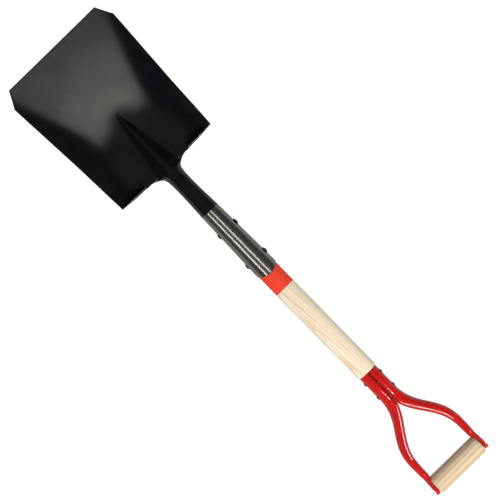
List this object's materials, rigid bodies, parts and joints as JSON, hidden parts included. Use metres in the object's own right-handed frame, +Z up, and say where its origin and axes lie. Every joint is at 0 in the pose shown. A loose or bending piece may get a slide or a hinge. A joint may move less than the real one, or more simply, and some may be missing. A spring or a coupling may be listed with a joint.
{
  "type": "square-mouth shovel",
  "caption": "Square-mouth D-handle shovel: black pressed blade with foot steps and frog, steel socket collar, ash shaft with a red band, red steel yoke and turned wooden cross grip.",
  "frame": {"origin": "centre of the bounding box in plan, on the floor that the shovel lies on, face up", "axes": "+X along the shaft from the blade to the grip, +Y to the left seen from the grip's end looking at the blade, +Z up out of the blade's face"},
  "size_m": [1.0618, 0.248, 0.0471],
  "materials": {
    "blade_black": "satin black powder coat",
    "collar_steel": "drawn dark bright steel",
    "dark_rivet": "oiled dark steel",
    "band_red": "gloss red coat",
    "ash_wood": "clear-coated ash",
    "yoke_red": "gloss red enamel",
    "steel_rivet": "plain steel",
    "grip_wood": "clear-coated turned wood"
  },
  "bodies": {
    "root": {"blade": "blade_black", "socket_collar": "collar_steel", "collar_rivet_front": "dark_rivet", "collar_rivet_rear": "dark_rivet", "red_band": "band_red", "shaft": "ash_wood", "yoke_left": "yoke_red", "yoke_right": "yoke_red", "yoke_rivet_front": "steel_rivet", "yoke_rivet_rear": "steel_rivet", "grip": "grip_wood", "grip_rod": "steel_rivet"}
  },
  "joints": []
}
